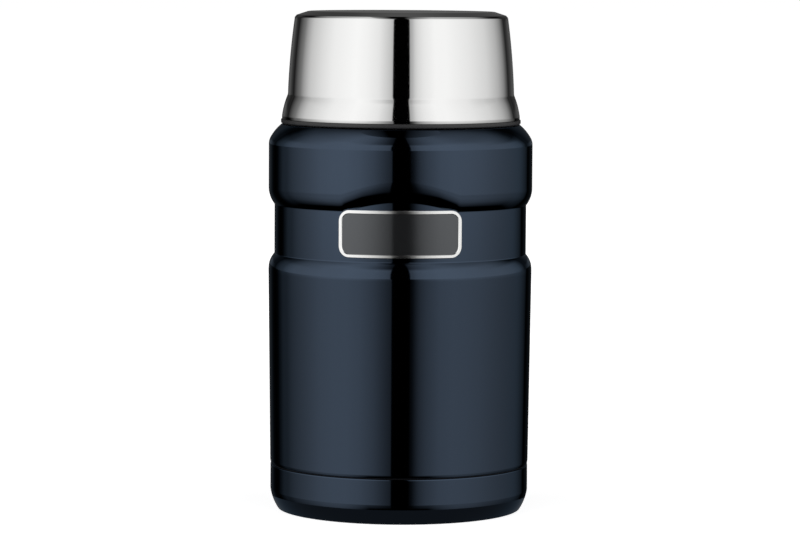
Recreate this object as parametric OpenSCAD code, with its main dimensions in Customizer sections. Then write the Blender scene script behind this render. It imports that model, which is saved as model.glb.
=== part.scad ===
// Insulated food jar: a double-walled steel vacuum jar, a screw-in stopper and a screw-on cup that is
// also its serving bowl. Millimetres, +Z up, origin on the ground in the middle of the base. The front,
// with its arched relief, faces -Y.

/* [Jar body] */
// Outside diameter of the lower body and of the ring under the shoulder
body_d = 105; // [98:0.5:116]
// Outside diameter at the seam of the base cup
base_d = 103.1; // [94:0.1:104.5]
// Diameter of the waist band between the lower body and the ring
waist_d = 100.3; // [97:0.1:103.5]
// Height of the base cup, up to its seam
base_h = 18.2; // [14:0.1:24]
// Height from the seam up to the waist
lower_h = 84; // [60:0.1:110]
// Height of the waist band
waist_h = 19.6; // [12:0.1:26]
// Height from the waist up to the shoulder ledge
ring_h = 31.9; // [26:0.1:42]
// Height of the neck above the shoulder ledge
neck_h = 14.3; // [10:0.1:16]
// Thickness of the steel sheet
steel_t = 0.5; // [0.4:0.05:0.8]

/* [Body curves] */
// Height of the rounded top of the lower body
waist_curve_h = 5.7; // [3:0.1:8]
// Outward bow of that rounded top
waist_curve_bow = 0.55; // [0.1:0.05:0.8]
// Height of the rounded foot of the ring
ring_curve_h = 5.6; // [3:0.1:8]
// Outward bow of that rounded foot
ring_curve_bow = 0.27; // [0.05:0.01:0.6]
// Height of the shoulder's curve
shoulder_curve_h = 7.3; // [5:0.1:9]
// Outward bow of the shoulder's curve
shoulder_curve_bow = 0.55; // [0.1:0.05:1]

/* [Arched relief] */
// Height of the arch above the waist band
arch_rise = 3.7; // [1:0.1:5]
// Half the angle that the arch spans round the body
arch_half_angle = 30; // [20:1:40]
// Height that the arch's sloping edge climbs for each millimetre outwards
arch_slope = 2.1; // [1.6:0.1:2.4]

/* [Base cup] */
// Height of the sloping corner above the ground
foot_h = 8; // [5:0.1:10]
// Width that the sloping corner takes off the radius
foot_inset = 3.2; // [2:0.1:5]
// Outward bow of the sloping corner
foot_bow = 0.5; // [0.1:0.05:0.7]
// Width of the flat foot ring
foot_ring_w = 3.6; // [2:0.1:8]
// Depth of the dished underside
foot_dish = 1.6; // [0.8:0.1:3]
// Width by which the cup stands back from the body at the seam
seam_step = 0.1; // [0.05:0.05:0.3]
// Open gap at the seam
seam_gap = 0.3; // [0.1:0.1:0.6]

/* [Vacuum liner] */
// Inside diameter of the food space
liner_d = 90.4; // [84:0.1:92]
// Height of the food space's floor above the closing plate's shoulder
floor_lift = 9; // [8:0.1:14]
// Radius of the corner round the floor
floor_round = 12; // [6:0.5:18]
// Clear width of the vacuum space inside the neck
neck_vacuum = 2.8; // [2:0.1:4]
// Height of the sloping shoulder inside the jar
liner_shoulder_h = 11; // [9:0.1:16]
// Amount by which the bore narrows below its thread
throat_step = 1.2; // [0.8:0.1:1.6]
// Thickness of the heat-reflecting foil
foil_t = 0.2; // [0.15:0.05:0.4]

/* [Vacuum closure] */
// Thickness of the closing plate
plate_t = 0.8; // [0.6:0.05:1.2]
// Height of the closing plate's lower edge above the cup's sloping corner
plate_lift = 0.6; // [0.4:0.1:2]
// Height of the closing plate's upturned edge
plate_edge_h = 3.2; // [2:0.1:4]
// Rise of the closing plate's dome
plate_dome = 3.4; // [2:0.1:4.5]
// Radius of the evacuation hole
port_r = 1.2; // [0.8:0.1:2]
// Diameter of the getter pill
getter_d = 9; // [6:0.5:12]
// Height of the getter pill
getter_h = 1.8; // [1:0.1:2.4]

/* [Stopper] */
// Height of the stopper's grip above the rim
grip_h = 12.5; // [9:0.1:15]
// Amount by which the grip is narrower than the neck
grip_set_in = 0.7; // [0.2:0.1:2]
// Depth of the dished top on either side of the finger bar
grip_dish = 6; // [3:0.1:6.5]
// Width of the finger bar
bar_w = 9; // [6:0.5:14]
// Number of flutes round the grip
flute_count = 32; // [16:1:40]
// Radius of each flute
flute_r = 1.3; // [0.8:0.1:1.7]
// Length of the plug below the rim
plug_h = 26; // [22:0.5:30]
// Thickness of the moulded plastic walls
plastic_t = 2; // [1.4:0.1:2.6]
// Height of the silicone seal
seal_h = 4.4; // [3:0.1:6]

/* [Serving bowl] */
// Outside diameter of the bowl's black rim
lid_d = 95.6; // [92:0.2:100]
// Height of the black rim
rim_h = 2.1; // [1.4:0.1:3]
// Width by which the black rim stands proud of the steel
rim_proud = 0.3; // [0.1:0.1:1]
// Height of the flared skirt above the rim
flare_h = 9.3; // [6:0.1:11]
// Width that the flare takes off the radius
flare_in = 2.05; // [1:0.05:3]
// Outward bow of the flare
flare_bow = 0.3; // [0.1:0.05:0.5]
// Height of the straight hem under the flare
hem_h = 0.8; // [0.4:0.1:1.5]
// Height of the bowl's tapering wall
bowl_wall_h = 30.6; // [26:0.1:40]
// Width that the taper takes off the radius
taper_in = 3.1; // [1:0.1:4]
// Outward bow of the tapering wall
wall_bow = 0.6; // [0.2:0.02:1]
// Width of the sloping edge round the top
bevel_w = 4.8; // [3:0.1:8]
// Height of the sloping edge round the top
bevel_h = 1.55; // [1:0.05:4]
// Thickness of the inner bowl
bowl_t = 1.5; // [1:0.1:2]
// Air space between the inner bowl and the steel top
bowl_air = 2.2; // [1:0.1:4]

/* [Fits] */
// Gap between the bowl's rim and the shoulder
lid_gap = 0.4; // [0.3:0.05:1]
// Gap between the stopper's grip and the jar's rim
seat_gap = 0.3; // [0.2:0.05:0.6]
// Room for the thread between the neck and the bowl
neck_thread_gap = 1.8; // [1.4:0.1:2.2]
// Room for the thread between the plug and the bore
plug_thread_gap = 1.7; // [1.4:0.1:2.2]
// Gap between the inner bowl and the steel at the flare
air_gap = 0.3; // [0.2:0.05:0.5]
// Play of the silicone seal in its groove and against the bore
seal_play = 0.3; // [0.2:0.05:0.4]

/* [Hidden] */
$fn = 96;
arc_steps = 8;
cut_over = 1;

// Finishes
navy = "#16273d";
bare_steel = "#c9cbcc";
black_plastic = "#1b1c1e";
copper = "#b87350";
getter_grey = "#7d8086";
silicone = "#b9bcbd";
foam_white = "#eceae2";
solder = "#9a9c9f";

// Heights of the outside, from the ground up
waist_z = base_h + lower_h;
ring_z = waist_z + waist_h;
shoulder_z = ring_z + ring_h;
rim_z = shoulder_z + neck_h;
lid_z = shoulder_z + lid_gap;
steel_edge_z = lid_z + rim_h;
crease_z = steel_edge_z + flare_h;
bowl_wall_z = crease_z + bowl_wall_h;

// Radii of the body
body_r = body_d / 2;
base_r = base_d / 2;
waist_r = waist_d / 2;
cup_r = base_r - seam_step;
skirt_r = cup_r - steel_t;

// Radii of the bowl, the neck and the plug, from the bowl's rim inwards
rim_r = lid_d / 2;
edge_r = rim_r - rim_proud;
crease_r = edge_r - flare_in;
wall_top_r = crease_r - taper_in;
bowl_r = crease_r - steel_t - air_gap - bowl_t;
neck_r = bowl_r - neck_thread_gap;
mouth_r = neck_r - 2 * steel_t - neck_vacuum;
throat_r = mouth_r - throat_step;
plug_r = mouth_r - plug_thread_gap;

// Sections are drawn in the plane of radius and height. Points run so that the outside of a path lies on
// its right, and a positive inset moves it to its left
function unit(v) = v / norm(v);
function left(v) = [-v[1], v[0]];
function miter(a, b, c) =
    let (first = left(unit(b - a)), mid = unit(first + left(unit(c - b))))
    mid / (mid * first);
function inset(path, t) =
    let (last = len(path) - 1)
    [for (i = [0:last])
        i == 0 ? path[0] + t * left(unit(path[1] - path[0])) :
        i == last ? path[last] + t * left(unit(path[last] - path[last - 1])) :
        path[i] + t * miter(path[i - 1], path[i], path[i + 1])];
function reversed(path) = [for (i = [len(path) - 1:-1:0]) path[i]];
function arc(centre, r, from, to) =
    [for (i = [0:arc_steps])
        let (a = from + (to - from) * i / arc_steps)
        centre + r * [cos(a), sin(a)]];
// A line from p to q that bows out to the right by sag at its middle
function bow(p, q, sag) =
    [for (i = [0:arc_steps])
        let (s = i / arc_steps)
        p + s * (q - p) - 4 * sag * s * (1 - s) * left(unit(q - p))];
// The same without its first point, to follow on from another curve
function bow_on(p, q, sag) = [for (i = [1:arc_steps]) bow(p, q, sag)[i]];

// A pressed or moulded wall, revolved: the path is one face, and the wall lies to its left
module wall(path, t) {
    rotate_extrude() polygon(concat(path, reversed(inset(path, t))));
}

// A ring with a rectangular section
module ring(inner_r, outer_r, low, high) {
    translate([0, 0, low])
        difference() {
            cylinder(r = outer_r, h = high - low);
            translate([0, 0, -cut_over]) cylinder(r = inner_r, h = high - low + 2 * cut_over);
        }
}

// ---------- Outer shell ----------

plate_z = foot_h + plate_lift;
shoulder_end_r = rim_r - lid_gap;

shell_path = concat(
    [[skirt_r, plate_z], [skirt_r, base_h], [base_r, base_h]],
    bow([body_r, waist_z - waist_curve_h], [waist_r, waist_z], waist_curve_bow),
    bow([waist_r, ring_z], [body_r, ring_z + ring_curve_h], ring_curve_bow),
    bow([body_r, shoulder_z - shoulder_curve_h], [shoulder_end_r, shoulder_z], shoulder_curve_bow),
    [[neck_r, shoulder_z], [neck_r, rim_z - steel_t]]);

// The shell filled solid, its surface moved in by t and its two ends moved out by over
module shell_form(t, over) {
    path = inset(shell_path, t);
    last = len(path) - 1;
    rotate_extrude()
        polygon(concat([[0, plate_z - over], [path[0][0], plate_z - over]], path,
            [[path[last][0], path[last][1] + over], [0, path[last][1] + over]]));
}

// The arched relief at the front: what stands proud of the waist, up to a cone whose axis is set back
// behind the jar's. The cone leaves the round body along an arch, arch_rise high in the middle and level
// with the foot of the ring at arch_half_angle on either side. The surface is moved in by t
module arch_cut(t) {
    // How much further the arch's middle is from the cone's axis than its two ends are
    reach_gain = arch_rise / arch_slope;
    set_back = let (chord = waist_r * (1 - cos(arch_half_angle)))
        (reach_gain * waist_r - reach_gain * reach_gain / 2) / (chord - reach_gain);
    end_reach = waist_r + set_back - reach_gain;
    proud = body_r - waist_r;
    low = ring_z - waist_h / 2;
    high = ring_z + arch_rise + arch_slope * proud + cut_over;
    lift = t * norm([1, arch_slope]);
    difference() {
        ring(waist_r - t, body_r + cut_over, low, high);
        translate([0, set_back, low - cut_over])
            cylinder(
                r1 = end_reach + (low - cut_over - ring_z - lift) / arch_slope,
                r2 = end_reach + (high + cut_over - ring_z - lift) / arch_slope,
                h = high - low + 2 * cut_over);
    }
}

module outer_shell() {
    color(navy)
        difference() {
            shell_form(0, 0);
            arch_cut(0);
            difference() {
                shell_form(steel_t, cut_over);
                arch_cut(steel_t);
            }
        }
}

// ---------- Inner liner ----------

// The seal's groove in the plug, which the bore's throat reaches past
plug_z = rim_z - plug_h;
plug_lip_h = 1.4;
groove_low = plug_z + plug_lip_h;
groove_high = groove_low + seal_h + seal_play;

liner_r = liner_d / 2;
floor_z = plate_z + plate_edge_h + floor_lift;
throat_z = groove_low - seal_play;
throat_top_z = groove_high + throat_step;
liner_wall_z = throat_z - liner_shoulder_h;
liner_curve = 7;
liner_curve_end = 55;
throat_curve = 3;
lip_round = 1.1;

// The food side, from the middle of the floor to the outer edge of the rolled lip
liner_path = concat(
    [[0, floor_z]],
    arc([liner_r - floor_round, floor_z + floor_round], floor_round, -90, 0),
    arc([liner_r - liner_curve, liner_wall_z], liner_curve, 0, liner_curve_end),
    arc([throat_r + throat_curve, throat_z], throat_curve, 180 + liner_curve_end, 180),
    [[throat_r, throat_top_z], [mouth_r, throat_top_z + throat_step]],
    arc([mouth_r + lip_round, rim_z - lip_round], lip_round, 180, 90),
    [[neck_r, rim_z]]);

module inner_liner() {
    color(bare_steel) wall(liner_path, -steel_t);
}

// Foil wrapped tight round the liner, on its vacuum side
module heat_foil() {
    foil_r = liner_r + steel_t;
    color(copper) ring(foil_r, foil_r + foil_t, floor_z + floor_round, liner_wall_z);
}

// ---------- Vacuum closure, hidden in the base cup ----------

port_well_r = 6;
port_well_h = 2;
well_draft = 2;
dome_edge_r = 18;
dome_fall = 0.4;
plate_bend_w = 4;
plate_bend_h = 1;
plate_r = skirt_r - steel_t;
plate_shoulder_z = plate_z + plate_edge_h;
dome_z = plate_shoulder_z + plate_dome;
well_z = dome_z - port_well_h;

// Upper face of the closing plate, from its turned-down edge to the evacuation hole
plate_path = [[plate_r, plate_z], [plate_r, plate_shoulder_z],
    [plate_r - plate_bend_w, plate_shoulder_z + plate_bend_h], [dome_edge_r, dome_z - dome_fall],
    [port_well_r + well_draft, dome_z], [port_well_r, well_z], [port_r, well_z]];

module vacuum_base() {
    color(bare_steel) wall(plate_path, plate_t);
}

// Solder that fills the evacuation hole, with a button on the outside
module seal_bead() {
    button_r = port_r + 1.6;
    button_h = 1.1;
    low = well_z - plate_t;
    color(solder)
        rotate_extrude()
        polygon([[0, low - button_h], [button_r / 2, low - button_h], [button_r, low - button_h / 2],
            [button_r, low], [port_r, low], [port_r, well_z], [0, well_z]]);
}

getter_x = liner_r / 2;
strap_t = 0.3;
strap_w = 5;
strap_foot = 4;
liner_underside = floor_z - steel_t;

// The pill that keeps the vacuum clean, against the underside of the liner
module getter() {
    color(getter_grey)
        translate([getter_x, 0, liner_underside - getter_h])
        cylinder(d = getter_d, h = getter_h);
}

// The strap that holds the getter, with a foot spot-welded on either side of it
module getter_strap() {
    reach = getter_d / 2 + strap_t;
    color(bare_steel)
        translate([getter_x - strap_w / 2, 0, liner_underside]) {
            for (side = [-1, 1]) {
                translate([0, side > 0 ? reach - strap_t : -reach - strap_foot, -strap_t])
                    cube([strap_w, strap_foot + strap_t, strap_t]);
                translate([0, side > 0 ? reach - strap_t : -reach, -getter_h - strap_t])
                    cube([strap_w, strap_t, getter_h + strap_t]);
            }
            translate([0, -reach, -getter_h - strap_t]) cube([strap_w, 2 * reach, strap_t]);
        }
}

// ---------- Base cup ----------

foot_r = base_r - foot_inset;
seam_chamfer = 0.3;
dish_slope_w = 2;
cup_top_z = base_h - seam_gap;

// Outer face, from the middle of the underside to the seam
base_path = concat(
    [[0, foot_dish], [foot_r - foot_ring_w - dish_slope_w, foot_dish], [foot_r - foot_ring_w, 0]],
    bow([foot_r, 0], [cup_r, foot_h], foot_bow));

module base_cup() {
    color(navy)
        rotate_extrude()
        polygon(concat(base_path,
            [[cup_r, cup_top_z - seam_chamfer], [cup_r - seam_chamfer, cup_top_z], [skirt_r, cup_top_z]],
            reversed([for (p = inset(base_path, steel_t)) [min(p[0], skirt_r), p[1]]])));
}

// ---------- Stopper ----------

seat_z = rim_z + seat_gap;
grip_r = neck_r - grip_set_in;
grip_top_z = seat_z + grip_h;
grip_edge = 1.2;
flute_depth = 0.8;
socket_r = grip_r - flute_depth - plastic_t;
flange_t = 2.2;
groove_depth = 2.8;
groove_r = plug_r - groove_depth;
plug_inside_r = groove_r - plastic_t;
dish_z = grip_top_z - grip_dish;
foam_top_z = dish_z - plastic_t;

// The cup that screws into the neck. Its flange sits in the grip's socket
module stopper_plug() {
    lip_r = plug_r - groove_depth / 2;
    lip_edge = 0.8;
    color(black_plastic)
        rotate_extrude()
        polygon([[0, plug_z], [lip_r - lip_edge, plug_z], [lip_r, plug_z + lip_edge], [lip_r, groove_low],
            [groove_r, groove_low], [groove_r, groove_high], [throat_r - seal_play, groove_high],
            [throat_r - seal_play, throat_top_z], [plug_r, throat_top_z + throat_step], [plug_r, seat_z],
            [socket_r, seat_z], [socket_r, seat_z + flange_t], [plug_inside_r, seat_z + flange_t],
            [plug_inside_r, plug_z + plastic_t], [0, plug_z + plastic_t]]);
}

// The grip: a fluted cap, dished on either side of a finger bar
module stopper_cap() {
    dish_r = socket_r - plastic_t;
    color(black_plastic)
        difference() {
            rotate_extrude()
                polygon([[0, seat_z + flange_t], [socket_r, seat_z + flange_t], [socket_r, seat_z],
                    [grip_r, seat_z], [grip_r, grip_top_z - grip_edge], [grip_r - grip_edge, grip_top_z],
                    [0, grip_top_z]]);
            difference() {
                translate([0, 0, dish_z]) cylinder(r = dish_r, h = grip_dish + cut_over);
                translate([-dish_r, -bar_w / 2, dish_z - cut_over])
                    cube([2 * dish_r, bar_w, grip_dish + 2 * cut_over]);
            }
            translate([0, 0, seat_z])
                cylinder(r = plug_inside_r, h = foam_top_z - seat_z);
            for (i = [0:flute_count - 1])
                rotate([0, 0, (i + 0.5) * 360 / flute_count])
                    translate([grip_r + flute_r - flute_depth, 0, seat_z - cut_over])
                    cylinder(r = flute_r, h = grip_h + 2 * cut_over, $fn = 24);
        }
}

// Insulation that fills the stopper
module stopper_foam() {
    low = plug_z + plastic_t;
    color(foam_white) translate([0, 0, low]) cylinder(r = plug_inside_r, h = foam_top_z - low);
}

// Silicone seal, hung under the step of the plug's groove, with two lips against the throat
module stopper_gasket() {
    lip_out = throat_r - seal_play;
    lip_depth = 1.1;
    lip_in = lip_out - lip_depth;
    low = groove_high - seal_h;
    step = seal_h / 5;
    color(silicone)
        rotate_extrude()
        polygon([[groove_r + seal_play, low], [lip_in, low], [lip_out, low + step], [lip_in, low + 2 * step],
            [lip_in, low + 3 * step], [lip_out, low + 4 * step], [lip_in, groove_high],
            [groove_r + seal_play, groove_high]]);
}

// ---------- Serving bowl ----------

corner_w = 0.55;
corner_h = 0.85;
bevel_r = wall_top_r - corner_w;
bevel_z = bowl_wall_z + corner_h;
top_z = bevel_z + bevel_h;

// Outer face of the steel, from its lower edge to the middle of the top
bowl_shell_path = concat(
    [[edge_r, steel_edge_z]],
    bow([edge_r, steel_edge_z + hem_h], [crease_r, crease_z], flare_bow),
    bow_on([crease_r, crease_z], [wall_top_r, bowl_wall_z], wall_bow),
    [[bevel_r, bevel_z], [bevel_r - bevel_w, top_z], [0, top_z]]);

module bowl_shell() {
    color(bare_steel) wall(bowl_shell_path, steel_t);
}

bowl_corner = 9;
corner_air = 0.8;
bowl_roof_z = top_z - steel_t - bowl_air - bowl_t;
bowl_corner_z = bowl_roof_z - bowl_corner;
bowl_thread_z = rim_z - bowl_air;

// Radius of the bowl's steel wall at height z
function steel_r(z) =
    let (s = (z - crease_z) / bowl_wall_h)
    crease_r - taper_in * s + 4 * wall_bow * s * (1 - s);

bowl_top_r = steel_r(bowl_corner_z) - steel_t - bowl_t - corner_air;

// Inner face of the bowl, from its mouth to the middle of its floor
bowl_liner_path = concat(
    [[bowl_r, steel_edge_z], [bowl_r, bowl_thread_z]],
    arc([bowl_top_r - bowl_corner, bowl_corner_z], bowl_corner, 0, 90),
    [[0, bowl_roof_z]]);

module bowl_liner() {
    color(black_plastic) {
        wall(bowl_liner_path, -bowl_t);
        ring(bowl_r, edge_r - steel_t - air_gap, steel_edge_z, steel_edge_z + bowl_t);
    }
}

// Black rim that closes the joint between the steel and the inner bowl
module bowl_rim() {
    edge = rim_h / 5;
    color(black_plastic)
        rotate_extrude()
        polygon([[bowl_r, lid_z], [rim_r - edge, lid_z], [rim_r, lid_z + edge],
            [rim_r, steel_edge_z - edge], [rim_r - edge, steel_edge_z], [bowl_r, steel_edge_z]]);
}

outer_shell();
inner_liner();
heat_foil();
vacuum_base();
seal_bead();
getter();
getter_strap();
base_cup();
stopper_plug();
stopper_cap();
stopper_foam();
stopper_gasket();
bowl_shell();
bowl_liner();
bowl_rim();
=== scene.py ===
"""Insulated food jar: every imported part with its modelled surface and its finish, in the jar's own frame."""
import math

import bpy
from mathutils import Matrix, Vector


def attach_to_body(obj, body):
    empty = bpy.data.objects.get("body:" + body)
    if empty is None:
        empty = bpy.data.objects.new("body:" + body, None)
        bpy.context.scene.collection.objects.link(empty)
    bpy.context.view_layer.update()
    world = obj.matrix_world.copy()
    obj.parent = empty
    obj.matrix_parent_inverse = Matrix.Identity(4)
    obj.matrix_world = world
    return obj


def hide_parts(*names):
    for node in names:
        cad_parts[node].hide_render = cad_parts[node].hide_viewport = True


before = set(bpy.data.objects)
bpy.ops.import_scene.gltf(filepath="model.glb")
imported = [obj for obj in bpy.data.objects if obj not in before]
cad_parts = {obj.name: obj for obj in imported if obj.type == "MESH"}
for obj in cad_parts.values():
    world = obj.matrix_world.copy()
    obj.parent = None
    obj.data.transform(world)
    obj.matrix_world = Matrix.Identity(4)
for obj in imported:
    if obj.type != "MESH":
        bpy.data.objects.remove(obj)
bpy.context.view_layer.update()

# ---------------------------------------------------------------- Inner liner
# The vessel that holds the food: one drawing of stainless sheet with a rounded floor, a narrow throat for the
# stopper's seal and a thread rolled into its mouth. Its lip is welded on top of the outer shell's neck. The
# food side is electropolished over faint turning marks. All sizes of pieces are in millimetres.
MM = 0.001
weld = 0.002 * MM
sheet = 0.5
liner_r, liner_floor, liner_top = 45.2, 20.8, 135.74
throat_r, throat_low, throat_high = 36.35, 141.94, 149.3
mouth_r, neck_r, lip_z = 37.55, 41.35, 168
mouth_low = throat_high + mouth_r - throat_r
thread_pitch, thread_width = 4, 2.6


def rounded(corners, steps=5):
    """The outline through corners of (across, up, corner radius), with an arc of that radius at each. A long
    straight has one more point close to every arc that it meets, so that it stays flat when shaded smooth"""
    long_straight, hold = 1.5, 0.25
    outline, after_arc = [], False
    for i, (across, up, *radius) in enumerate(corners):
        here = Vector((across, up))
        bend = [here]
        arc = bool(radius) and 0 < i < len(corners) - 1
        if arc:
            back = (Vector(corners[i - 1][:2]) - here).normalized()
            on = (Vector(corners[i + 1][:2]) - here).normalized()
            half = back.angle(on) / 2
            centre = here + (back + on).normalized() * radius[0] / math.sin(half)
            start = here + back * radius[0] / math.tan(half) - centre
            sweep = (math.pi - 2 * half) * (1 if back.cross(on) < 0 else -1)
            bend = [centre + Matrix.Rotation(sweep * k / steps, 2) @ start for k in range(steps + 1)]
        gap = bend[0] - outline[-1] if outline else Vector((0, 0))
        if gap.length > long_straight:
            held = gap.normalized() * hold
            outline += [outline[-1] + held] * after_arc + [bend[0] - held] * arc
        outline += bend
        after_arc = arc
    return outline


def bowed(start, end, bow, steps=10):
    """Points between two corners of a section, on a line that bows out to its right. The points that lie in a
    corner's arc are left out where the line is used"""
    run = Vector(end) - Vector(start)
    right = Vector((run.y, -run.x)).normalized()
    shares = [k / steps for k in range(1, steps)]
    return [tuple(Vector(start) + s * run + 4 * bow * s * (1 - s) * right) for s in shares]


def rows(across, low, high):
    """Plain points up a straight wall, close enough together to carry a thread"""
    gap = 0.35
    count = round(abs(high - low) / gap)
    return [(across, low + (high - low) * k / count) for k in range(count + 1)]


def drawn_line(name, points):
    """A new object with one vertex extruded from point to point. It is left in edit mode with all selected"""
    bpy.ops.object.select_all(action="DESELECT")
    bpy.ops.mesh.primitive_plane_add(size=MM)
    line = bpy.context.object
    line.name = line.data.name = name
    bpy.ops.object.mode_set(mode="EDIT")
    bpy.ops.mesh.merge(type="CENTER")
    bpy.ops.transform.translate(value=points[0])
    for last, point in zip(points, points[1:]):
        if (point - last).length > weld / 2:
            bpy.ops.mesh.extrude_region_move(TRANSFORM_OT_translate={"value": point - last})
    bpy.ops.mesh.select_all(action="SELECT")
    return line


def turned(name, outline, around=192, wall=0):
    """A turned piece: its section is drawn, spun a quarter way round the axis and mirrored. An open outline
    is a sheet, with its wall in front of its faces above 0 and behind them below. The liner's faces look at
    the food, and those of the shell and the bowl look outwards"""
    section = outline if wall else [*outline, outline[0]]
    piece = drawn_line(name, [Vector((p[0], 0, p[1])) * MM for p in section])
    bpy.ops.mesh.spin(steps=around // 4, angle=math.tau / 4, center=(0, 0, 0), axis=(0, 0, 1))
    bpy.ops.object.mode_set(mode="OBJECT")
    halves = piece.modifiers.new("halves", "MIRROR")
    halves.use_axis, halves.merge_threshold = (True, True, False), weld
    bpy.ops.object.modifier_apply(modifier="halves")
    bpy.ops.object.mode_set(mode="EDIT")
    bpy.ops.mesh.select_all(action="SELECT")
    bpy.ops.mesh.remove_doubles(threshold=weld)
    bpy.ops.mesh.normals_make_consistent(inside=False)
    bpy.ops.object.mode_set(mode="OBJECT")
    if wall:
        solid = piece.modifiers.new("wall", "SOLIDIFY")
        solid.thickness, solid.offset = abs(wall) * MM, math.copysign(1, wall)
        solid.use_even_offset = True
        bpy.ops.object.modifier_apply(modifier="wall")
    return piece


def thread(piece, across, low, turns, depth):
    """A rounded thread on the wall at one radius, which climbs anticlockwise from a height: the wall's
    vertices are weighted along a helix and raised square to the wall. Each end fades out"""
    on_wall, fade, fullness = 0.02, 0.08, 0.7
    ridge = piece.vertex_groups.new(name="thread")
    for vertex in piece.data.vertices:
        x, y, z = vertex.co / MM
        if abs(math.hypot(x, y) - across) > on_wall:
            continue
        angle = math.atan2(y, x) / math.tau
        climbed = (z - low) / thread_pitch
        turn = round(climbed - angle) + angle
        aside = abs(climbed - turn) * thread_pitch / (thread_width / 2)
        run_out = min(turn, turns - turn) / fade
        if aside < 1 and run_out > 0:
            height = (0.5 + 0.5 * math.cos(math.pi * aside)) ** fullness * min(1, run_out)
            ridge.add([vertex.index], height, "REPLACE")
    rolled = piece.modifiers.new("thread", "DISPLACE")
    rolled.vertex_group, rolled.strength, rolled.mid_level = "thread", depth * MM, 0
    bpy.ops.object.modifier_apply(modifier="thread")
    piece.vertex_groups.clear()


def fit(piece, body, nodes, material, angle=32):
    """Shades a finished piece, gives it its finish, and puts it on its body in place of its solids"""
    bpy.context.view_layer.objects.active = piece
    bpy.ops.object.select_all(action="DESELECT")
    piece.select_set(True)
    bpy.ops.object.shade_smooth_by_angle(angle=math.radians(angle))
    if not piece.data.materials:
        piece.data.materials.append(material)
    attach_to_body(piece, body)
    if nodes:
        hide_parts(*nodes)


def finish(name, colour, roughness, metallic=0.0, **sockets):
    """A new material with its constant values on the shader's own sockets"""
    material = bpy.data.materials.new(name)
    material.use_nodes = True
    shader = material.node_tree.nodes["Principled BSDF"]
    shader.inputs["Base Color"].default_value = (*colour, 1)
    shader.inputs["Roughness"].default_value = roughness
    shader.inputs["Metallic"].default_value = metallic
    for key, value in sockets.items():
        shader.inputs[key.replace("_", " ")].default_value = value
    return material


def add(material, kind, inputs, **settings):
    """Adds one shader node. Each input is a plain value or the output of another node"""
    node = material.node_tree.nodes.new("ShaderNode" + kind)
    for key, value in settings.items():
        setattr(node, key, value)
    for key, value in inputs.items():
        if isinstance(value, bpy.types.NodeSocket):
            material.node_tree.links.new(value, node.inputs[key])
        else:
            node.inputs[key].default_value = value
    return node.outputs[0]


def attach(material, socket, output):
    """Links an output to a socket of the material's shader"""
    tree = material.node_tree
    tree.links.new(output, tree.nodes["Principled BSDF"].inputs[socket])


def place(material, stretch=(1, 1, 1)):
    """Object coordinates, stretched along the axes"""
    coordinates = material.node_tree.nodes.new("ShaderNodeTexCoord").outputs["Object"]
    return add(material, "Mapping", {"Vector": coordinates, "Scale": stretch})


def parted(material):
    """Object coordinates as separate outputs X, Y and Z"""
    return add(material, "SeparateXYZ", {"Vector": place(material)}).node.outputs


def length_of(material, vector):
    """The length of a vector"""
    return add(material, "VectorMath", {0: vector}, operation="LENGTH").node.outputs["Value"]


def worked(material, operation, *values):
    """One step of arithmetic on values or outputs"""
    return add(material, "Math", dict(enumerate(values)), operation=operation)


def rings(material):
    """Object coordinates drawn out round the axis, so that a pattern on them lies in turned rings"""
    drawn = 0.02
    flat = place(material, (1, 1, 0))
    ring = worked(material, "SUBTRACT", parted(material)["Z"], length_of(material, flat))
    column = add(material, "CombineXYZ", {"Z": ring})
    return add(material, "VectorMath", {0: flat, 1: (drawn, drawn, 0), 2: column}, operation="MULTIPLY_ADD")


def noise(material, vector, scale, detail=2.0):
    """A grey noise between 0 and 1"""
    return add(material, "TexNoise", {"Vector": vector, "Scale": scale, "Detail": detail})


def spread(material, value, low, high, start=0.0, end=1.0, **settings):
    """A value that runs from start to end laid between two numbers, which it keeps to beyond those"""
    ends = {"From Min": start, "From Max": end, "To Min": low, "To Max": high}
    return add(material, "MapRange", {"Value": value, **ends}, **settings)


def tinted(material, value, dark, light):
    """Colours the surface between two colours by a value of 0 to 1"""
    ramp = add(material, "ValToRGB", {"Fac": value})
    for element, colour in zip(ramp.node.color_ramp.elements, (dark, light)):
        element.color = (*colour, 1)
    attach(material, "Base Color", ramp)


def bump(material, height, strength, distance):
    """Raises the surface by a height pattern, by distance in millimetres at most"""
    raised = add(material, "Bump", {"Height": height, "Strength": strength, "Distance": distance * MM})
    attach(material, "Normal", raised)


def bright_steel(name, colour, low, high, lines):
    """Stainless steel with turning marks: fine rings that stir the gloss and the surface"""
    steel = finish(name, colour, low, 1.0)
    marks = noise(steel, rings(steel), lines, 3)
    attach(steel, "Roughness", spread(steel, marks, low, high))
    bump(steel, marks, 0.06, 0.02)
    return steel


liner_steel = bright_steel("liner_steel", (0.70, 0.69, 0.67), 0.16, 0.34, 2600)
liner = turned("liner", rounded([
    (0, liner_floor), (liner_r, liner_floor, 12), (liner_r, liner_top, 7), (throat_r, throat_low, 3),
    (throat_r, throat_high, 0.6), (mouth_r, mouth_low, 0.6), *rows(mouth_r, 152, 166), (mouth_r, lip_z, 1.1),
    (neck_r, lip_z)], 8), wall=sheet)
thread(liner, mouth_r, low=153.2, turns=2.4, depth=0.72)
fit(liner, "jar", ["inner_liner"], liner_steel)

# ---------------------------------------------------------------- Foil, getter and strap
# A copper foil is wrapped tight round the liner to turn heat back. Under the liner's floor a spot-welded
# steel strap holds a pill of pressed getter powder, which keeps the vacuum clean. All three are sealed in.


def dress(node, material):
    """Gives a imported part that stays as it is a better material"""
    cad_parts[node].data.materials.clear()
    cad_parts[node].data.materials.append(material)


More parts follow.
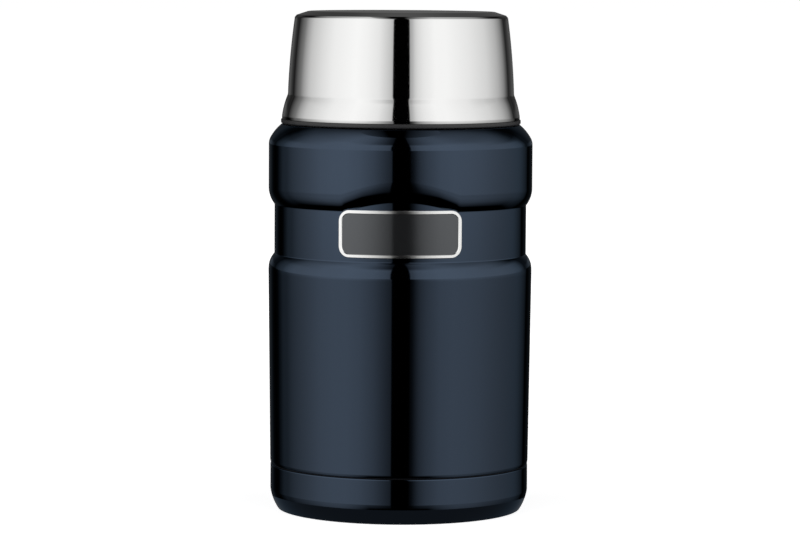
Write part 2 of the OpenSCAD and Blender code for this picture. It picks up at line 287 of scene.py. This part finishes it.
foil_copper = finish("foil_copper", (0.80, 0.42, 0.27), 0.3, 1.0)
upright = place(foil_copper, (1, 1, 0.4))
crumple = add(foil_copper, "TexVoronoi", {"Vector": upright, "Scale": 160}, feature="SMOOTH_F1")
attach(foil_copper, "Roughness", spread(foil_copper, crumple, 0.18, 0.42))
bump(foil_copper, crumple, 0.5, 0.3)
dress("heat_foil", foil_copper)

getter_powder = finish("getter_powder", (0.17, 0.17, 0.18), 0.85, 0.2)
grains = noise(getter_powder, place(getter_powder), 5200, 4)
tinted(getter_powder, grains, (0.09, 0.09, 0.10), (0.30, 0.30, 0.31))
bump(getter_powder, grains, 0.6, 0.1)
dress("getter", getter_powder)

strap_steel = finish("strap_steel", (0.60, 0.59, 0.57), 0.3, 1.0)
drawing_lines = noise(strap_steel, place(strap_steel, (1, 0.05, 1)), 3000, 3)
attach(strap_steel, "Roughness", spread(strap_steel, drawing_lines, 0.22, 0.42))
dress("getter_strap", strap_steel)

# ---------------------------------------------------------------- Outer shell
# The body: stainless sheet, drawn, pressed at the waist with the ring above it, and lacquered deep navy over
# a metallic base. The foot of the ring is pressed up into an arch at the front. The lacquer stops on the
# shoulder's ledge, so the neck and its rolled thread are bare. Below the seam the skirt is near-black and
# barely glossy: painted shade for the gap between the shell and the cup.
body_r, waist_r, skirt_r, bare_r = 52.5, 50.15, 50.95, 46.4
seam_z, ledge_z = 18.5, 153.7
body_edge, waist_foot, waist_head = (body_r, 96.5), (waist_r, 102.2), (waist_r, 121.8)
ring_foot, ring_head, ledge = (body_r, 127.4), (body_r, 147.1), (47.4, ledge_z)
near = 0.1

lacquer = finish("navy_lacquer", (0.028, 0.044, 0.070), 0.06, 1.0, Specular_Tint=(0.6, 0.78, 1, 1),
                 Coat_Weight=0.3, Coat_Roughness=0.025)
flakes = noise(lacquer, place(lacquer), 9000, 1)
tinted(lacquer, flakes, (0.024, 0.039, 0.063), (0.032, 0.049, 0.077))
bump(lacquer, noise(lacquer, place(lacquer), 260, 1), 0.05, 0.01)

neck_steel = bright_steel("neck_steel", (0.66, 0.65, 0.63), 0.22, 0.40, 2600)
# Near-black and barely glossy: painted shade in the gap at the seam, under the shell's edge.
painted_seam_shade = finish("painted_seam_shade", (0.006, 0.006, 0.007), 0.6, Specular_IOR_Level=0.05)

shell = turned("shell", rounded([
    (skirt_r, 8.6), (skirt_r, seam_z, 0.1), (51.35, seam_z, 0.3), (51.56, 19.6, 1.5), (*body_edge, 16),
    *bowed(body_edge, waist_foot, 0.55, 16)[3:], (*waist_foot, 0.5), (*waist_head, 0.5),
    *bowed(waist_head, ring_foot, 0.4)[:-2], (*ring_foot, 10), (*ring_head, 5),
    *bowed(ring_head, ledge, 0.5, 16)[2:], (*ledge, 0.6), (neck_r, ledge_z, 0.6), *rows(neck_r, 155, 166.5),
    (neck_r, 167.5)]), around=288, wall=-sheet)

arch_low, arch_high, arch_lift = 121, 131, 5.2
arch_end, share_at_waist = 0.44, 0.74
arch = shell.vertex_groups.new(name="arch")
for vertex in shell.data.vertices:
    x, y, z = vertex.co / MM
    aside = abs(x) / math.hypot(x, y)
    if arch_low < z < arch_high and y < 0 and aside < arch_end:
        rise = math.cos(aside / arch_end * math.pi / 2)
        out = max(0, (math.hypot(x, y) - waist_r) / (body_r - waist_r))
        arch.add([vertex.index], rise * (share_at_waist + (1 - share_at_waist) * out ** 2), "REPLACE")
pressed = shell.modifiers.new("arch", "DISPLACE")
pressed.vertex_group, pressed.direction = "arch", "Z"
pressed.strength, pressed.mid_level = arch_lift * MM, 0
bpy.ops.object.modifier_apply(modifier="arch")
shell.vertex_groups.clear()
thread(shell, neck_r, low=157.2, turns=2, depth=0.8)

for material in (lacquer, neck_steel, painted_seam_shade):
    shell.data.materials.append(material)
# Faces on the ledge and neck get bare steel, and the skirt's faces below the seam get the painted seam shade.
for face in shell.data.polygons:
    if face.center.z > (ledge_z - near) * MM and math.hypot(face.center.x, face.center.y) < bare_r * MM:
        face.material_index = 1
    elif face.center.z < (seam_z - near) * MM:
        face.material_index = 2
fit(shell, "jar", ["outer_shell"], lacquer)

# ---------------------------------------------------------------- Vacuum closure
# A domed steel plate closes the space between liner and shell from below. The air is drawn out through a hole
# in its middle, which a bead of solder then seals. The base cup hides both.
plate_steel = bright_steel("plate_steel", (0.56, 0.55, 0.54), 0.3, 0.5, 1500)
dress("vacuum_base", plate_steel)

solder = finish("solder", (0.55, 0.55, 0.57), 0.4, 1.0)
skin = noise(solder, place(solder), 1800, 4)
attach(solder, "Roughness", spread(solder, skin, 0.25, 0.6))
bump(solder, skin, 0.5, 0.1)
dress("seal_bead", solder)

# ---------------------------------------------------------------- Base cup
# A pressed cup in the body's own lacquer, pushed on over the shell's skirt and glued. It has a sloping
# corner, a flat ring to stand on and a dished underside, and leaves an open seam under the shell.
cup_r, cup_top, corner_z = 51.45, 18.1, 8
foot_in, foot_out, dish_z = 44.75, 48.35, 1.6
slope = bowed((foot_out, 0), (cup_r, corner_z), 0.5)
cup = turned("cup", rounded([
    (0, dish_z), (foot_in - 2, dish_z, 1.5), (foot_in, 0, 1.2), (foot_out, 0, 0.8), *slope,
    (cup_r, corner_z, 1.2), (cup_r, cup_top, 0.48), (skirt_r, cup_top), (skirt_r, corner_z + 0.1, 0.9),
    *[(across - sheet, up + 0.15) for across, up in reversed(slope)], (foot_out - 0.35, sheet, 0.5),
    (foot_in + 0.25, sheet, 0.8), (foot_in - 1.75, dish_z + sheet, 0.8), (0, dish_z + sheet)]), around=288)
fit(cup, "jar", ["base_cup"], lacquer)

# ---------------------------------------------------------------- Badge plate
# A thin stamped plate with rounded corners, curved to the waist and stuck on at the front under the arch. Its
# raised border is polished, and its blank field is sunk a little and darkened.
badge_w, badge_h, badge_t, badge_z = 49, 18.4, 0.65, 113.2
badge_corner, edge_round, border, sunk = 4.4, 0.15, 1.0, 0.3
badge_r, strips, field_least = waist_r - 0.05, 40, 300

badge_steel = bright_steel("badge_steel", (0.80, 0.80, 0.79), 0.12, 0.2, 2600)
badge_field = finish("badge_field", (0.086, 0.09, 0.095), 0.1, 0.9)
speckle = noise(badge_field, place(badge_field), 5200, 2)
attach(badge_field, "Roughness", spread(badge_field, speckle, 0.08, 0.14))
bump(badge_field, speckle, 0.08, 0.01)

bpy.ops.object.select_all(action="DESELECT")
bpy.ops.mesh.primitive_plane_add(size=MM, rotation=(math.tau / 4, 0, 0))
badge = bpy.context.object
badge.name = badge.data.name = "badge"
bpy.ops.object.transform_apply(rotation=True)
bpy.ops.object.mode_set(mode="EDIT")
bpy.ops.transform.resize(value=(badge_w, 1, badge_h))
bpy.ops.mesh.bevel(offset=badge_corner * MM, segments=10, affect="VERTICES")
bpy.ops.mesh.extrude_region_move(TRANSFORM_OT_translate={"value": (0, -badge_t * MM, 0)})
bpy.ops.mesh.inset(thickness=edge_round * MM, depth=0.1 * MM)
bpy.ops.mesh.inset(thickness=border * MM)
bpy.ops.mesh.inset(thickness=0.2 * MM, depth=-sunk * MM)
bpy.ops.object.mode_set(mode="OBJECT")
badge.data.materials.append(badge_steel)
badge.data.materials.append(badge_field)
for face in badge.data.polygons:
    face.material_index = int(face.area > field_least * MM * MM)
bpy.ops.object.mode_set(mode="EDIT")
bpy.ops.mesh.select_all(action="DESELECT")
bpy.ops.mesh.select_non_manifold()
bpy.ops.mesh.edge_face_add()
for k in range(1, strips):
    bpy.ops.mesh.select_all(action="SELECT")
    bpy.ops.mesh.bisect(plane_co=((k / strips - 0.5) * badge_w * MM, 0, 0), plane_no=(1, 0, 0))
bpy.ops.object.mode_set(mode="OBJECT")
curl = badge.modifiers.new("curl", "SIMPLE_DEFORM")
curl.deform_method, curl.deform_axis, curl.angle = "BEND", "Z", badge_w / badge_r
bpy.ops.object.modifier_apply(modifier="curl")
badge.location = (0, -badge_r * MM, badge_z * MM)
bpy.ops.object.transform_apply(location=True)
fit(badge, "jar", [], badge_steel, angle=24)

# ---------------------------------------------------------------- Stopper plug
# The part of the stopper that goes into the neck: a moulded black cup with a thread of its own and, near its
# lower end, a groove for the seal. The grip is pressed on over its flange.
plug_r, plug_foot, hollow_r = 35.85, 142, 31.05
groove_r, groove_low, groove_high = 33.05, 143.4, 148.1
flange_r, flange_low, flange_high = 37.85, 168.3, 170.5

moulded = finish("black_plastic", (0.013, 0.013, 0.014), 0.4, Specular_IOR_Level=0.5)
grain = noise(moulded, place(moulded), 4200, 3)
attach(moulded, "Roughness", spread(moulded, grain, 0.32, 0.5))
bump(moulded, grain, 0.35, 0.03)

plug = turned("plug", rounded([
    (0, plug_foot), (33.65, plug_foot, 0.6), (34.45, 142.8, 0.6), (34.45, groove_low, 0.2),
    (groove_r, groove_low, 0.3), (groove_r, groove_high, 0.3), (36.05, groove_high, 0.3), (36.05, 149.3, 0.4),
    (plug_r, 150.5, 0.4), *rows(plug_r, 151.5, 165.5), (plug_r, flange_low), (flange_r, flange_low),
    (flange_r, flange_high), (hollow_r, flange_high), (hollow_r, plug_foot + 2, 1), (0, plug_foot + 2)]))
thread(plug, plug_r, low=153.2, turns=2.4, depth=0.72)
fit(plug, "stopper", ["stopper_plug"], moulded)

# ---------------------------------------------------------------- Stopper foam
# White insulating foam, cast into the hollow of the stopper between plug and grip.
foam = finish("foam", (0.83, 0.82, 0.77), 0.9)
cells = add(foam, "TexVoronoi", {"Vector": place(foam), "Scale": 1400})
bump(foam, cells, 0.7, 0.2)
tinted(foam, cells, (0.70, 0.69, 0.64), (0.88, 0.87, 0.83))
dress("stopper_foam", foam)

# ---------------------------------------------------------------- Stopper grip
# The moulded cap of the stopper, pressed on over the plug: fluted round its edge, and dished on either side
# of a bar that the fingers turn.
grip_r, grip_top, foam_top = 40.65, 180.8, 172.8
grip_steps, flute_steps, rim_width = 512, 16, 2.15
grip = turned("grip", rounded([
    (0, foam_top), (hollow_r, foam_top), (hollow_r, flange_high), (flange_r, flange_high),
    (flange_r, flange_low), (grip_r, flange_low, 0.5), (grip_r, grip_top, 1.4), (0, grip_top)]),
    around=grip_steps)
for column, depth in ((0, 0.8), (1, 0.7), (2, 0.33), (-1, 0.7), (-2, 0.33)):
    bpy.ops.object.mode_set(mode="EDIT")
    bpy.ops.mesh.select_all(action="DESELECT")
    bpy.ops.object.mode_set(mode="OBJECT")
    for vertex in grip.data.vertices:
        x, y, z = vertex.co / MM
        along = round(math.atan2(y, x) / math.tau * grip_steps) % flute_steps
        on_edge = math.hypot(x, y) > grip_r - rim_width and z > flange_low - near
        vertex.select = on_edge and along == (flute_steps // 2 + column) % flute_steps
    bpy.ops.object.mode_set(mode="EDIT")
    inwards = 1 - depth / grip_r
    bpy.ops.transform.resize(value=(inwards, inwards, 1), center_override=(0, 0, 0))
    bpy.ops.object.mode_set(mode="OBJECT")

dish_r, dish_floor, bar_half = 35.85, 174.8, 4.5
floor_round, rim_chamfer, cutter_top = 2.2, 0.5, 182
bar_corner = math.degrees(math.asin(bar_half / dish_r))
corner_room, bend_steps = bar_corner + 8, 48
bend = [math.radians(corner_room + k * (180 - 2 * corner_room) / bend_steps) for k in range(bend_steps + 1)]
bar_end = dish_r * math.cos(math.radians(bar_corner))
half_moon = rounded([(0, bar_half), (bar_end, bar_half, 3),
                     *[(dish_r * math.cos(a), dish_r * math.sin(a)) for a in bend],
                     (-bar_end, bar_half, 3), (0, bar_half)], 6)
for side in (1, -1):
    dish = drawn_line("dish", [Vector((side * p.x, side * p.y, cutter_top)) * MM for p in half_moon])
    bpy.ops.mesh.remove_doubles(threshold=weld)
    bpy.ops.mesh.edge_face_add()
    sink = (0, 0, (dish_floor - cutter_top) * MM)
    bpy.ops.mesh.extrude_region_move(TRANSFORM_OT_translate={"value": sink})
    bpy.ops.mesh.bevel(offset=floor_round * MM, segments=6, affect="EDGES")
    bpy.ops.mesh.select_all(action="SELECT")
    bpy.ops.mesh.normals_make_consistent(inside=False)
    bpy.ops.object.mode_set(mode="OBJECT")
    bpy.context.view_layer.objects.active = grip
    cut = grip.modifiers.new("dish", "BOOLEAN")
    cut.operation, cut.object, cut.solver = "DIFFERENCE", dish, "EXACT"
    bpy.ops.object.modifier_apply(modifier="dish")
    bpy.data.objects.remove(dish)

bpy.ops.object.mode_set(mode="EDIT")
bpy.ops.mesh.select_mode(type="EDGE")
bpy.ops.mesh.select_all(action="DESELECT")
bpy.ops.object.mode_set(mode="OBJECT")
walls = {key for face in grip.data.polygons if abs(face.normal.z) < 0.5 for key in face.edge_keys}
for edge in grip.data.edges:
    ends = [grip.data.vertices[k].co / MM for k in edge.vertices]
    on_top = all(e.z > grip_top - near and math.hypot(e.x, e.y) < dish_r + rim_chamfer for e in ends)
    edge.select = edge.key in walls and on_top
bpy.ops.object.mode_set(mode="EDIT")
bpy.ops.mesh.bevel(offset=rim_chamfer * MM, affect="EDGES")
bpy.ops.mesh.select_mode(type="VERT")
bpy.ops.object.mode_set(mode="OBJECT")
fit(grip, "stopper", ["stopper_cap"], moulded)

# ---------------------------------------------------------------- Stopper seal
# A grey silicone ring, stretched into the plug's groove, with two soft lips against the throat.
seal_in, seal_wall, lip_r = groove_r + 0.3, 34.95, 36.05
seal_low = groove_low + 0.3
levels = [seal_low + k * (groove_high - seal_low) / 5 for k in range(6)]
silicone = finish("silicone", (0.46, 0.47, 0.48), 0.45, Subsurface_Weight=0.15, Subsurface_Scale=0.002)
bloom = noise(silicone, place(silicone), 900, 3)
attach(silicone, "Roughness", spread(silicone, bloom, 0.36, 0.58))
bump(silicone, bloom, 0.15, 0.03)
seal = turned("seal", rounded([
    (seal_in, 146), (seal_in, levels[0], 0.3), (seal_wall, levels[0], 0.3), (lip_r, levels[1], 0.35),
    (seal_wall, levels[2], 0.2), (seal_wall, levels[3], 0.2), (lip_r, levels[4], 0.35),
    (seal_wall, levels[5], 0.2), (seal_in, levels[5], 0.3), (seal_in, 146)])[:-1])
fit(seal, "stopper_seal", ["stopper_gasket"], silicone)

# ---------------------------------------------------------------- Bowl liner
# The inside of the serving bowl: moulded black plastic with a rounded floor, threaded at its mouth to screw
# onto the jar's neck, and with a flange that meets the steel. It lies upside down here, as on the closed jar.
bowl_wall, bowl_mouth_r, bowl_r, flange_out = 1.5, 43.15, 41.2, 46.7
bowl_low, bowl_side, bowl_floor, floor_bend = 156.2, 185.3, 194.3, 8.8
bowl = turned("bowl_inside", rounded([
    (bowl_mouth_r, bowl_low), *rows(bowl_mouth_r, 157, 165.6), (bowl_mouth_r, 165.8, 2),
    (bowl_r, bowl_side, 1), (bowl_r, bowl_floor, floor_bend), (0, bowl_floor), (0, bowl_floor + bowl_wall),
    (bowl_r + bowl_wall, bowl_floor + bowl_wall, floor_bend + bowl_wall), (bowl_r + bowl_wall, bowl_side, 1),
    (bowl_mouth_r + bowl_wall, 166, 2), (bowl_mouth_r + bowl_wall, bowl_low + bowl_wall, 0.4),
    (flange_out, bowl_low + bowl_wall, 0.3), (flange_out, bowl_low), (bowl_mouth_r, bowl_low)], 8)[:-1])
thread(bowl, bowl_mouth_r, low=157.9, turns=1.9, depth=0.8)
fit(bowl, "bowl", ["bowl_liner"], moulded)

# ---------------------------------------------------------------- Bowl rim
# A black plastic ring that covers the joint between the bowl's steel and its liner, and stands just clear of
# the shoulder. The steel's edge sits in a step round its outside.
rim_r, rim_low, steel_low, steel_edge_in = 47.7, 154, 155.65, 46.8
rim = turned("rim", rounded([
    (45, rim_low), (rim_r, rim_low, 0.5), (rim_r, steel_low, 0.2), (steel_edge_in, steel_low),
    (steel_edge_in, bowl_low), (bowl_mouth_r, bowl_low, 0.2), (bowl_mouth_r, rim_low, 0.4),
    (45, rim_low)])[:-1], around=288)
fit(rim, "bowl_edge", ["bowl_rim"], moulded)

# ---------------------------------------------------------------- Bowl steel
# The outside of the serving bowl, drawn and turned in stainless steel: a flared skirt with a rolled-in edge,
# a tapering wall and a flat top with a sloping edge.
skirt, crease, wall_head, top_z = (steel_edge_in + sheet, 157), (45, 165.5), (42.35, 196.1), 198.5
bowl_steel = bright_steel("bowl_steel", (0.642, 0.642, 0.637), 0.035, 0.06, 3000)
steel = turned("bowl_outside", rounded([
    (steel_edge_in, steel_low), (steel_edge_in + sheet, steel_low, 0.2), (*skirt, 0.3),
    *bowed(skirt, crease, 0.3)[:-1], (*crease, 3), *bowed(crease, wall_head, 0.4, 24)[2:], (*wall_head, 0.9),
    (41.6, 196.98, 0.6), (37, top_z, 3), (0, top_z)]), around=288, wall=-sheet)
fit(steel, "bowl", ["bowl_shell"], bowl_steel)

# ---------------------------------------------------------------- Stage
# A plain pale floor in a round tent of soft light, in metres. The tent is brightest to the left and right,
# with a dark slot in front and a dark opening behind. The camera doesn't see the tent, and the object mirrors
# the tent and not the floor.
tent_r, tent_foot, tent_head = 2, -4, 6
shade_r, shade_level = 0.0608, 0.1


def glow(name, strength):
    """A stage material that only shines. Its strength is a number, or a function that builds it from nodes"""
    material = bpy.data.materials.new(name)
    material.use_nodes = True
    material.node_tree.nodes.clear()
    shine = material.node_tree.nodes.new("ShaderNodeEmission")
    if callable(strength):
        material.node_tree.links.new(strength(material), shine.inputs["Strength"])
    else:
        shine.inputs["Strength"].default_value = strength
    end = material.node_tree.nodes.new("ShaderNodeOutputMaterial")
    material.node_tree.links.new(shine.outputs[0], end.inputs["Surface"])
    return material


def tent_light(material):
    """The tent's brightness by the angle from the front, left below 0 and right above it, and by height"""
    parts = parted(material)
    angle = worked(material, "ARCTAN2", parts["X"], worked(material, "MULTIPLY", parts["Y"], -1.0))
    turn = spread(material, angle, 0, 1, -math.pi, math.pi)
    off_front = worked(material, "ABSOLUTE", angle)

    def by_angle(stops):
        """A level for each angle in degrees, and a smooth run between two stops"""
        curve = add(material, "ValToRGB", {"Fac": turn})
        elements = curve.node.color_ramp.elements
        while len(elements) < len(stops):
            elements.new(0.5)
        for element, (degrees, level) in zip(elements, stops):
            element.position, element.color = degrees / 360 + 0.5, (level, level, level, 1)
        return curve

    def by_height(start, end, below, above):
        """One level below a height and another above one, in metres"""
        return spread(material, parts["Z"], below, above, start, end)

    def by_side(start, end, inside, outside):
        """One level within an angle to either side and another beyond a wider one, in radians"""
        return spread(material, off_front, inside, outside, start, end)

    def times(one, other):
        return worked(material, "MULTIPLY", one, other)

    def mixed(share, one, other):
        return add(material, "Mix", {"Factor": share, "A": one, "B": other}, data_type="FLOAT")

    # The level mirrored by the body is lowest, the one mirrored by the lid's wall and skirt is over it, and
    # the one mirrored by the sloping shoulders is highest. One gives way to the next between two heights.
    body_to_lid, to_dim_sides, lid_to_high = (0.055, 0.085), (0.85, 1.15), (1.5, 2.2)
    lid_gain, high_gain = 1.115, 1.25
    body = by_angle([
        (-180, 0.03), (-157, 0.03), (-147, 0.005), (-140, 0), (-134, 0.005), (-128, 0.05), (-123, 0.12),
        (-116, 0.16), (-106, 0.345), (-89, 0.62), (-74, 0.88), (-60, 0.99), (-47, 1), (-35, 0.89),
        (-23, 0.64), (-17, 0.46), (-11.5, 0.305), (-7, 0.2), (9, 0.02), (11.5, 0.07), (14, 0.19),
        (17, 0.34), (23, 0.545), (35, 0.81), (47, 0.88), (60, 0.845), (74, 0.75), (106, 0.42), (123, 0.245),
        (134, 0.1), (145, 0), (180, 0.03)])
    lid = by_angle([
        (-180, 0.074), (-168, 0.05), (-157, 0.08), (-147, 0.03), (-140, 0.008), (-134, 0.06), (-128, 0.125),
        (-123, 0.178), (-116, 0.355), (-106, 0.57), (-89, 0.76), (-74, 0.9), (-47, 1), (-35, 0.945),
        (-23, 0.845), (-11.5, 0.59), (-8, 0.47), (9, 0.39), (11.5, 0.47), (14, 0.625), (17, 0.73),
        (23, 0.85), (35, 0.97), (47, 0.972), (74, 0.843), (97, 0.685), (116, 0.445), (128, 0.235),
        (134, 0.1), (140, 0.014), (157, 0.066), (180, 0.074)])
    high = by_angle([
        (-180, 0.069), (-167, 0.069), (-160, 0), (-150, 0), (-140, 0.03), (-118, 0.28), (-100, 0.54),
        (-85, 0.73), (-71, 0.91), (-59, 1), (-47, 0.91), (-36, 0.73), (-25, 0.42), (-14, 0.155), (-5, 0),
        (6, 0.02), (17, 0.35), (28, 0.63), (39, 0.815), (50, 0.86), (62, 0.77), (75, 0.65), (89, 0.556),
        (105, 0.43), (118, 0.28), (124, 0.18), (130, 0.1), (136, 0.03), (143, 0), (160, 0), (167, 0.069),
        (180, 0.069)])

    # Far round to the sides the lid's level is lower above an edge, which comes down towards the back.
    far = times(by_side(2.48, 2.56, 0, 1), by_side(2.9, 3.1, 1, 0))
    edge = by_side(2.75, 2.95, 0.26, 0.13)
    above_edge = spread(material, parts["Z"], 0, 1, edge, worked(material, "ADD", edge, 0.07))
    lid = times(lid, mixed(times(far, above_edge), 1.0, 0.4))

    # Higher up it is lower to the sides as well, which gives the shoulders their dark ends.
    dim = by_angle([
        (-180, 1), (-157, 1), (-147, 0.6), (-137, 0.3), (-130, 0.6), (-115, 0.75), (-95, 0.92), (-75, 1),
        (75, 1), (95, 0.9), (107, 0.8), (115, 0.66), (121, 0.52), (126, 0.38), (132, 0.18), (147, 0.3),
        (157, 1), (180, 1)])
    lid = mixed(by_height(*to_dim_sides, 0, 1), lid, times(lid, dim))

    # The light falls off towards the ceiling, and is brighter above the floor than below it.
    upper = mixed(by_height(*lid_to_high, 0, 1), times(lid, lid_gain), times(high, high_gain))
    upper = times(times(upper, by_height(1.6, 2.6, 1, 0.8)), by_height(2.6, tent_head, 1, 0.72))
    sides = mixed(by_height(*body_to_lid, 0, 1), body, upper)
    sides = times(sides, by_height(-0.12, 0.02, 1, 1.3))

    # Below the floor the light fades out, sooner in front and behind than to the sides.
    reach = by_angle([
        (-180, 0.56), (-115, 0.56), (-69, 1), (-55, 1), (-28, 0.6), (28, 0.6), (55, 1), (69, 1),
        (115, 0.56), (180, 0.56)])
    sides = times(sides, spread(material, parts["Z"], 0, 1, times(reach, -2.15), times(reach, -0.5)))

    # The slot's edges are 7 degrees to the left, 8.2 at the lid's height, and 8.7 to the right of the front.
    slot_left = by_height(*body_to_lid, 7, 8.2)
    slot_right, soft = 8.7, 0.3
    past_left = worked(material, "SUBTRACT", times(angle, math.degrees(-1)), slot_left)
    past_right = worked(material, "MULTIPLY_ADD", angle, math.degrees(1), -slot_right)
    outside_slot = worked(material, "MAXIMUM", past_left, past_right)
    return times(sides, spread(material, outside_slot, 0, 1, -soft, soft))


def ceiling_light(material):
    """The ceiling shines more and more to both sides of the slot, which runs on across it"""
    slot_middle = -0.25
    off_slot = worked(material, "ABSOLUTE", worked(material, "ADD", parted(material)["X"], -slot_middle))
    return spread(material, off_slot, 0, 0.6, 0.45, 2.3)


bpy.ops.object.select_all(action="DESELECT")
bpy.ops.mesh.primitive_cylinder_add(vertices=180, radius=tent_r, depth=tent_head - tent_foot,
                                    end_fill_type="NOTHING", location=(0, 0, (tent_foot + tent_head) / 2))
tent = bpy.context.object
bpy.ops.object.transform_apply(location=True)
tent.data.materials.append(glow("tent_light", tent_light))
bpy.ops.mesh.primitive_circle_add(vertices=64, radius=tent_r, fill_type="NGON", location=(0, 0, tent_head))
ceiling = bpy.context.object
ceiling.data.materials.append(glow("ceiling_light", ceiling_light))

# The foot mirrors a dim disc just below the floor in place of the floor itself.
bpy.ops.mesh.primitive_circle_add(vertices=64, radius=shade_r, fill_type="NGON", location=(0, 0, -MM))
foot_shade = bpy.context.object
foot_shade.data.materials.append(glow("foot_shade", shade_level))
for screen in (tent, ceiling, foot_shade):
    screen.visible_camera = screen.visible_shadow = False
foot_shade.visible_diffuse = False


def floor_glow_with_painted_shade(material):
    """The floor's glow, with painted shade near the object: it shines less there than away from it, and is
    pale right to the horizon
    """
    out = length_of(material, place(material))
    return spread(material, out, 0.8, 1.0, 0.1, 0.9, interpolation_type="SMOOTHSTEP")


bpy.ops.mesh.primitive_plane_add(size=60)
floor = bpy.context.object
floor_paint = finish("floor_paint", (0.6, 0.6, 0.6), 0.9, Emission_Color=(1, 1, 1, 1))
# The floor's glow is turned lower near the object, a painted shade round it.
attach(floor_paint, "Emission Strength", floor_glow_with_painted_shade(floor_paint))
floor.data.materials.append(floor_paint)
floor.visible_glossy = False

# Only the camera sees the pale world behind the floor.
world = bpy.data.worlds.new("world")
bpy.context.scene.world = world
world.use_nodes = True
background = world.node_tree.nodes["Background"]
seen = world.node_tree.nodes.new("ShaderNodeLightPath").outputs["Is Camera Ray"]
world.node_tree.links.new(seen, background.inputs["Strength"])
background.inputs["Color"].default_value = (0.92, 0.92, 0.92, 1)

# The camera looks slightly down at the middle of the jar from 1.5 m, and is turned a third of a degree.
eye, aim, tilt = Vector((0, -1.5, 0.221)), Vector((0, 0, 0.0968)), math.radians(0.34)
camera = bpy.data.objects.new("camera", bpy.data.cameras.new("camera"))
bpy.context.scene.collection.objects.link(camera)
bpy.context.scene.camera = camera
camera.location = eye
look = (aim - eye).to_track_quat("-Z", "Y").to_matrix()
camera.rotation_euler = (look @ Matrix.Rotation(tilt, 3, "Z")).to_euler()
camera.data.lens = 169.6
bpy.context.scene.view_settings.view_transform = "Standard"
